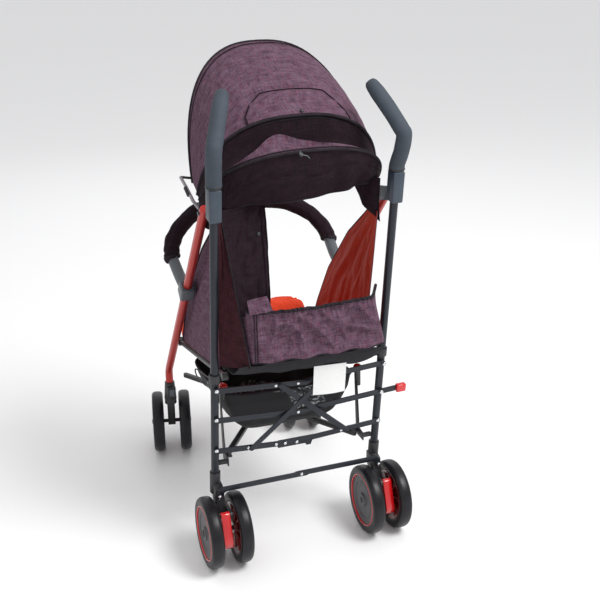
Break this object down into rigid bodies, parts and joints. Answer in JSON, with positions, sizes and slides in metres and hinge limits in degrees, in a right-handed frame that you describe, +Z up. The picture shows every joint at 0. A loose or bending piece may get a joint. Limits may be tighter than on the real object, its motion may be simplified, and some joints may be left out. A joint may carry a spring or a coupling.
{
  "type": "umbrella-fold stroller",
  "caption": "Umbrella-fold stroller with hood, bumper bar, reclining seat, basket, rear folding linkage and twin swivel casters.",
  "frame": {"origin": "on the floor, under the middle of the stroller", "axes": "-Y toward the front, +X toward the stroller's left side, +Z up"},
  "size_m": [0.5079, 0.7254, 1.1257],
  "materials": {
    "rear_frame": "satin",
    "red_frame": "metallic gloss",
    "black_plastic": "matte",
    "grey_plastic": "matte",
    "grip_foam": "soft matte",
    "red_plastic": "gloss",
    "tyre": "matte",
    "plum_fabric": "woven melange",
    "orange_fabric": "woven",
    "black_fabric": "woven"
  },
  "bodies": {
    "seat": {"basket": "black_fabric", "hood_rear": "plum_fabric", "rear_bows": "black_plastic"},
    "seat_pad": {"seat_cushion": "orange_fabric", "seat_sling": "black_fabric"},
    "bumper": {"bumper_bar": "plum_fabric"},
    "side_left": {"rear_tube_left": "rear_frame", "handle_bracket_left": "grey_plastic", "handle_grip_left": "grip_foam", "wheel_foot_left": "black_plastic", "side_wall_left": "plum_fabric", "hanger_plate_left": "black_plastic"},
    "front_leg_left": {"front_leg_left": "red_frame", "bumper_socket_left": "grey_plastic", "caster_housing_left": "black_plastic"},
    "swivel_button_left": {"swivel_button_left": "grey_plastic"},
    "caster_left": {"caster_fork_left": "black_plastic"},
    "front_wheel_outer_left": {"front_wheel_outer_left": "tyre"},
    "rear_wheel_outer_left": {"rear_wheel_outer_left": "tyre"},
    "front_wheel_inner_left": {"front_wheel_inner_left": "tyre"},
    "rear_wheel_inner_left": {"rear_wheel_inner_left": "tyre"},
    "brake_left": {"brake_pedal_left": "red_plastic"},
    "collar_left": {"collar_left": "black_plastic"},
    "seat_tube_left": {"seat_tube_left": "black_plastic"},
    "rail_yoke_left": {"rail_yoke_left": "black_plastic"},
    "cross_rail_left": {"cross_rail_left": "black_plastic"},
    "upper_bar_left": {"upper_bar_left": "rear_frame"},
    "middle_bar_left": {"middle_bar_left": "rear_frame"},
    "lock_bar_left": {"lock_bar_left": "rear_frame"},
    "foot_bar_left": {"foot_bar_left": "rear_frame"},
    "cross_bar_left": {"cross_bar_left": "rear_frame"},
    "side_right": {"rear_tube_right": "rear_frame", "handle_bracket_right": "grey_plastic", "handle_grip_right": "grip_foam", "wheel_foot_right": "black_plastic", "side_wall_right": "plum_fabric", "hanger_plate_right": "black_plastic"},
    "front_leg_right": {"front_leg_right": "red_frame", "bumper_socket_right": "grey_plastic", "caster_housing_right": "black_plastic"},
    "swivel_button_right": {"swivel_button_right": "grey_plastic"},
    "caster_right": {"caster_fork_right": "black_plastic"},
    "front_wheel_outer_right": {"front_wheel_outer_right": "tyre"},
    "rear_wheel_outer_right": {"rear_wheel_outer_right": "tyre"},
    "front_wheel_inner_right": {"front_wheel_inner_right": "tyre"},
    "rear_wheel_inner_right": {"rear_wheel_inner_right": "tyre"},
    "brake_right": {"brake_pedal_right": "red_plastic"},
    "collar_right": {"collar_right": "black_plastic"},
    "seat_tube_right": {"seat_tube_right": "black_plastic"},
    "rail_yoke_right": {"rail_yoke_right": "black_plastic"},
    "cross_rail_right": {"cross_rail_right": "black_plastic"},
    "upper_bar_right": {"upper_bar_right": "rear_frame"},
    "middle_bar_right": {"middle_bar_right": "rear_frame"},
    "lock_bar_right": {"lock_bar_right": "rear_frame"},
    "foot_bar_right": {"foot_bar_right": "rear_frame"},
    "cross_bar_right": {"cross_bar_right": "rear_frame"},
    "backrest": {"backrest": "black_fabric"},
    "back_band": {"back_band": "plum_fabric"},
    "hood_front": {"hood_front": "plum_fabric"},
    "hood_second": {"hood_second": "plum_fabric"}
  },
  "joints": [
    {"name": "fold", "type": "slide", "parent": "seat", "child": "side_left", "axis": [-1, 0, 0], "range_m": [0, 0.12], "deforming": ["seat_cushion", "seat_sling", "backrest", "back_band", "basket", "side_wall_left", "side_wall_right", "hood_rear", "rear_bows", "bumper_bar"]},
    {"name": "front_leg_left_turn", "type": "hinge", "parent": "side_left", "child": "front_leg_left", "pos_m": [0.2035, 0.262, 0.823], "axis": [1, 0, 0], "range_deg": [0, 26.05]},
    {"name": "swivel_button_press_left", "type": "slide", "parent": "front_leg_left", "child": "swivel_button_left", "axis": [0, -1, 0], "range_m": [0, 0.0018], "stiffness_N_per_m": 300},
    {"name": "caster_swivel_left", "type": "hinge", "parent": "front_leg_left", "child": "caster_left", "pos_m": [0.188, -0.236, 0.16], "axis": [0, 0, 1], "continuous": true},
    {"name": "front_wheel_outer_left_spin", "type": "hinge", "parent": "caster_left", "child": "front_wheel_outer_left", "pos_m": [0.21656, -0.27479, 0.08198], "axis": [0.9781, -0.2079, 0], "continuous": true},
    {"name": "rear_wheel_outer_left_spin", "type": "hinge", "parent": "side_left", "child": "rear_wheel_outer_left", "pos_m": [0.228, 0.287, 0.08198], "axis": [1, 0, 0], "continuous": true},
    {"name": "front_wheel_inner_left_spin", "type": "hinge", "parent": "caster_left", "child": "front_wheel_inner_left", "pos_m": [0.14613, -0.25982, 0.08198], "axis": [0.9781, -0.2079, 0], "continuous": true},
    {"name": "rear_wheel_inner_left_spin", "type": "hinge", "parent": "side_left", "child": "rear_wheel_inner_left", "pos_m": [0.16, 0.287, 0.08198], "axis": [1, 0, 0], "continuous": true},
    {"name": "brake_press_left", "type": "hinge", "parent": "side_left", "child": "brake_left", "pos_m": [0.194, 0.311, 0.13398], "axis": [1, 0, 0], "range_deg": [-16, 0]},
    {"name": "collar_slide_left", "type": "slide", "parent": "side_left", "child": "collar_left", "axis": [0, 0.1201, 0.9928], "range_m": [0, 0.1578]},
    {"name": "seat_tube_turn_left", "type": "hinge", "parent": "collar_left", "child": "seat_tube_left", "pos_m": [0.1745, 0.26884, 0.4549], "axis": [1, 0, 0], "range_deg": [0, 52.03]},
    {"name": "rail_yoke_tip_left", "type": "hinge", "parent": "side_left", "child": "rail_yoke_left", "pos_m": [0.157, 0.212, 0.227], "axis": [1, 0, 0], "range_deg": [-94.2, 0]},
    {"name": "cross_rail_swing_left", "type": "hinge", "parent": "rail_yoke_left", "child": "cross_rail_left", "pos_m": [0.157, 0.212, 0.227], "axis": [0, 0.0479, 0.9989], "range_deg": [0, 28.95]},
    {"name": "upper_bar_left_turn", "type": "hinge", "parent": "side_left", "child": "upper_bar_left", "pos_m": [0.197, 0.26571, 0.42909], "axis": [0, 0.9928, -0.1201], "range_deg": [0, 71.17]},
    {"name": "middle_bar_left_turn", "type": "hinge", "parent": "side_left", "child": "middle_bar_left", "pos_m": [0.197, 0.25646, 0.35265], "axis": [0, 0.9928, -0.1201], "range_deg": [0, 71.17]},
    {"name": "lock_bar_left_turn", "type": "hinge", "parent": "side_left", "child": "lock_bar_left", "pos_m": [0.197, 0.24661, 0.27124], "axis": [0, 0.9928, -0.1201], "range_deg": [0, 71.17]},
    {"name": "foot_bar_left_turn", "type": "hinge", "parent": "side_left", "child": "foot_bar_left", "pos_m": [0.197, 0.23352, 0.16303], "axis": [0, 0.9928, -0.1201], "range_deg": [0, 61.92]},
    {"name": "cross_bar_left_turn", "type": "hinge", "parent": "upper_bar_left", "child": "cross_bar_left", "pos_m": [0.05175, 0.26447, 0.41884], "axis": [0, 0.9928, -0.1201], "range_deg": [-101.85, 0]},
    {"name": "fold_right", "type": "slide", "parent": "seat", "child": "side_right", "axis": [1, 0, 0], "range_m": [0, 0.1205]},
    {"name": "front_leg_right_turn", "type": "hinge", "parent": "side_right", "child": "front_leg_right", "pos_m": [-0.2035, 0.262, 0.823], "axis": [1, 0, 0], "range_deg": [0, 26.05]},
    {"name": "swivel_button_press_right", "type": "slide", "parent": "front_leg_right", "child": "swivel_button_right", "axis": [0, -1, 0], "range_m": [0, 0.0018], "stiffness_N_per_m": 300},
    {"name": "caster_swivel_right", "type": "hinge", "parent": "front_leg_right", "child": "caster_right", "pos_m": [-0.188, -0.236, 0.16], "axis": [0, 0, 1], "continuous": true},
    {"name": "front_wheel_outer_right_spin", "type": "hinge", "parent": "caster_right", "child": "front_wheel_outer_right", "pos_m": [-0.22987, -0.25982, 0.08198], "axis": [0.9781, -0.2079, 0], "continuous": true},
    {"name": "rear_wheel_outer_right_spin", "type": "hinge", "parent": "side_right", "child": "rear_wheel_outer_right", "pos_m": [-0.228, 0.287, 0.08198], "axis": [1, 0, 0], "continuous": true},
    {"name": "front_wheel_inner_right_spin", "type": "hinge", "parent": "caster_right", "child": "front_wheel_inner_right", "pos_m": [-0.15944, -0.27479, 0.08198], "axis": [0.9781, -0.2079, 0], "continuous": true},
    {"name": "rear_wheel_inner_right_spin", "type": "hinge", "parent": "side_right", "child": "rear_wheel_inner_right", "pos_m": [-0.16, 0.287, 0.08198], "axis": [1, 0, 0], "continuous": true},
    {"name": "brake_press_right", "type": "hinge", "parent": "side_right", "child": "brake_right", "pos_m": [-0.194, 0.311, 0.13398], "axis": [1, 0, 0], "range_deg": [-16, 0]},
    {"name": "collar_slide_right", "type": "slide", "parent": "side_right", "child": "collar_right", "axis": [0, 0.1201, 0.9928], "range_m": [0, 0.1578]},
    {"name": "seat_tube_turn_right", "type": "hinge", "parent": "collar_right", "child": "seat_tube_right", "pos_m": [-0.1745, 0.26884, 0.4549], "axis": [1, 0, 0], "range_deg": [0, 52.03]},
    {"name": "rail_yoke_tip_right", "type": "hinge", "parent": "side_right", "child": "rail_yoke_right", "pos_m": [-0.157, 0.212, 0.227], "axis": [1, 0, 0], "range_deg": [-94.2, 0]},
    {"name": "cross_rail_swing_right", "type": "hinge", "parent": "rail_yoke_right", "child": "cross_rail_right", "pos_m": [-0.157, 0.212, 0.227], "axis": [0, 0.0479, 0.9989], "range_deg": [-28.95, 0]},
    {"name": "upper_bar_right_turn", "type": "hinge", "parent": "side_right", "child": "upper_bar_right", "pos_m": [-0.197, 0.26571, 0.42909], "axis": [0, 0.9928, -0.1201], "range_deg": [-71.17, 0]},
    {"name": "middle_bar_right_turn", "type": "hinge", "parent": "side_right", "child": "middle_bar_right", "pos_m": [-0.197, 0.25646, 0.35265], "axis": [0, 0.9928, -0.1201], "range_deg": [-71.17, 0]},
    {"name": "lock_bar_right_turn", "type": "hinge", "parent": "side_right", "child": "lock_bar_right", "pos_m": [-0.197, 0.24661, 0.27124], "axis": [0, 0.9928, -0.1201], "range_deg": [-71.17, 0]},
    {"name": "foot_bar_right_turn", "type": "hinge", "parent": "side_right", "child": "foot_bar_right", "pos_m": [-0.197, 0.23352, 0.16303], "axis": [0, 0.9928, -0.1201], "range_deg": [-61.92, 0]},
    {"name": "cross_bar_right_turn", "type": "hinge", "parent": "upper_bar_right", "child": "cross_bar_right", "pos_m": [-0.05175, 0.26447, 0.41884], "axis": [0, 0.9928, -0.1201], "range_deg": [0, 101.85]},
    {"name": "seat_pad_swing", "type": "hinge", "parent": "seat", "child": "seat_pad", "pos_m": [0, 0.11813, 0.55236], "axis": [1, 0, 0], "range_deg": [0, 52.03]},
    {"name": "bumper_swing", "type": "hinge", "parent": "seat", "child": "bumper", "pos_m": [0, 0.262, 0.823], "axis": [1, 0, 0], "range_deg": [0, 26.05]},
    {"name": "backrest_recline", "type": "hinge", "parent": "seat_pad", "child": "backrest", "pos_m": [0, 0.046, 0.421], "axis": [1, 0, 0], "range_deg": [0, 42]},
    {"name": "back_band_tip", "type": "hinge", "parent": "backrest", "child": "back_band", "pos_m": [0, 0.349, 0.51], "axis": [1, 0, 0], "range_deg": [-63.1, 0]},
    {"name": "hood_fold", "type": "hinge", "parent": "seat", "child": "hood_front", "pos_m": [0, 0.19, 0.818], "axis": [1, 0, 0], "range_deg": [-48, 0], "deforming": ["hood_front", "hood_second"]},
    {"name": "hood_second_fold", "type": "hinge", "parent": "seat", "child": "hood_second", "pos_m": [0, 0.19, 0.818], "axis": [1, 0, 0], "range_deg": [-24.1, 0]}
  ],
  "couplings": [
    {"joint": "front_leg_left_turn", "follows": "fold", "rad_per_m": 3.7815},
    {"joint": "collar_slide_left", "follows": "fold", "ratio": 1.3108},
    {"joint": "seat_tube_turn_left", "follows": "fold", "rad_per_m": 7.5603},
    {"joint": "rail_yoke_tip_left", "follows": "fold", "rad_per_m": -13.694},
    {"joint": "cross_rail_swing_left", "follows": "fold", "rad_per_m": 4.2035},
    {"joint": "upper_bar_left_turn", "follows": "fold", "rad_per_m": 10.344},
    {"joint": "middle_bar_left_turn", "follows": "fold", "rad_per_m": 10.344},
    {"joint": "lock_bar_left_turn", "follows": "fold", "rad_per_m": 10.344},
    {"joint": "foot_bar_left_turn", "follows": "fold", "rad_per_m": 8.9989},
    {"joint": "cross_bar_left_turn", "follows": "fold", "rad_per_m": -14.806},
    {"joint": "fold_right", "follows": "fold", "ratio": 1},
    {"joint": "front_leg_right_turn", "follows": "fold", "rad_per_m": 3.7815},
    {"joint": "collar_slide_right", "follows": "fold", "ratio": 1.3108},
    {"joint": "seat_tube_turn_right", "follows": "fold", "rad_per_m": 7.5603},
    {"joint": "rail_yoke_tip_right", "follows": "fold", "rad_per_m": -13.694},
    {"joint": "cross_rail_swing_right", "follows": "fold", "rad_per_m": -4.2035},
    {"joint": "upper_bar_right_turn", "follows": "fold", "rad_per_m": -10.344},
    {"joint": "middle_bar_right_turn", "follows": "fold", "rad_per_m": -10.344},
    {"joint": "lock_bar_right_turn", "follows": "fold", "rad_per_m": -10.344},
    {"joint": "foot_bar_right_turn", "follows": "fold", "rad_per_m": -8.9989},
    {"joint": "cross_bar_right_turn", "follows": "fold", "rad_per_m": 14.806},
    {"joint": "seat_pad_swing", "follows": "fold", "rad_per_m": 7.5603},
    {"joint": "bumper_swing", "follows": "fold", "rad_per_m": 3.7815},
    {"joint": "back_band_tip", "follows": "backrest_recline", "ratio": -1.5},
    {"joint": "hood_second_fold", "follows": "hood_fold", "ratio": 0.5}
  ]
}
